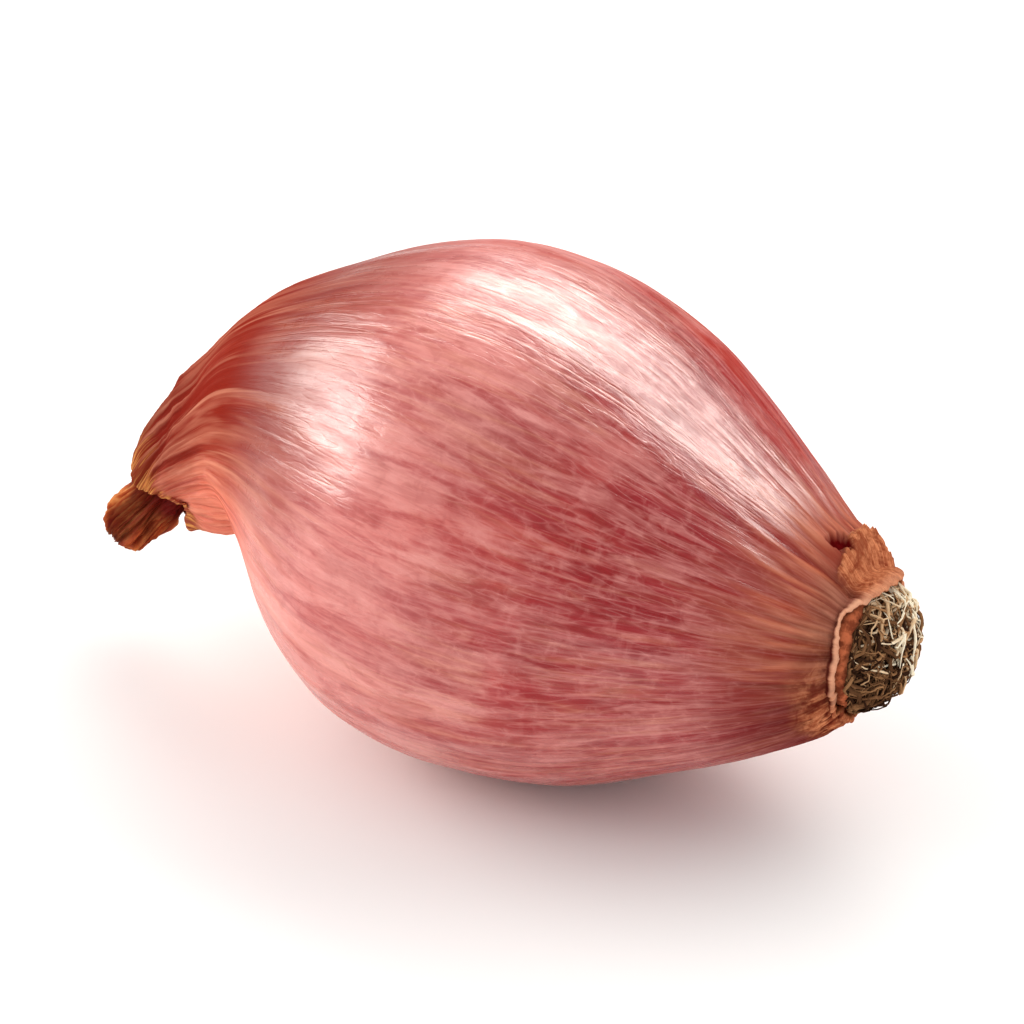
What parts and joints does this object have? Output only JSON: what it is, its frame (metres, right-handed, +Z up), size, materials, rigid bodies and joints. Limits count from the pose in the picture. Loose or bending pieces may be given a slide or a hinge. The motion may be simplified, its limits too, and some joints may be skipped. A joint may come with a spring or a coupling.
{
  "type": "shallot",
  "caption": "Long pink shallot bulb lying on its side, with papery ribbed skin, a dried drooping neck and a root plate matted with short dry roots.",
  "frame": {"origin": "middle of the small flat spot under the belly, on the surface that the shallot lies on", "axes": "+Z up, +X towards the root end, along the length of the lying bulb; the neck droops at the -X end"},
  "size_m": [0.0774, 0.0429, 0.0431],
  "materials": {
    "pink_skin": "smooth papery skin with a soft sheen, rose pink with pale and coppery streaks along the bulb",
    "dry_root": "dull dry fibre, tan to dark brown"
  },
  "bodies": {
    "root": {"bulb": "pink_skin", "root_plate": "dry_root"}
  },
  "joints": []
}
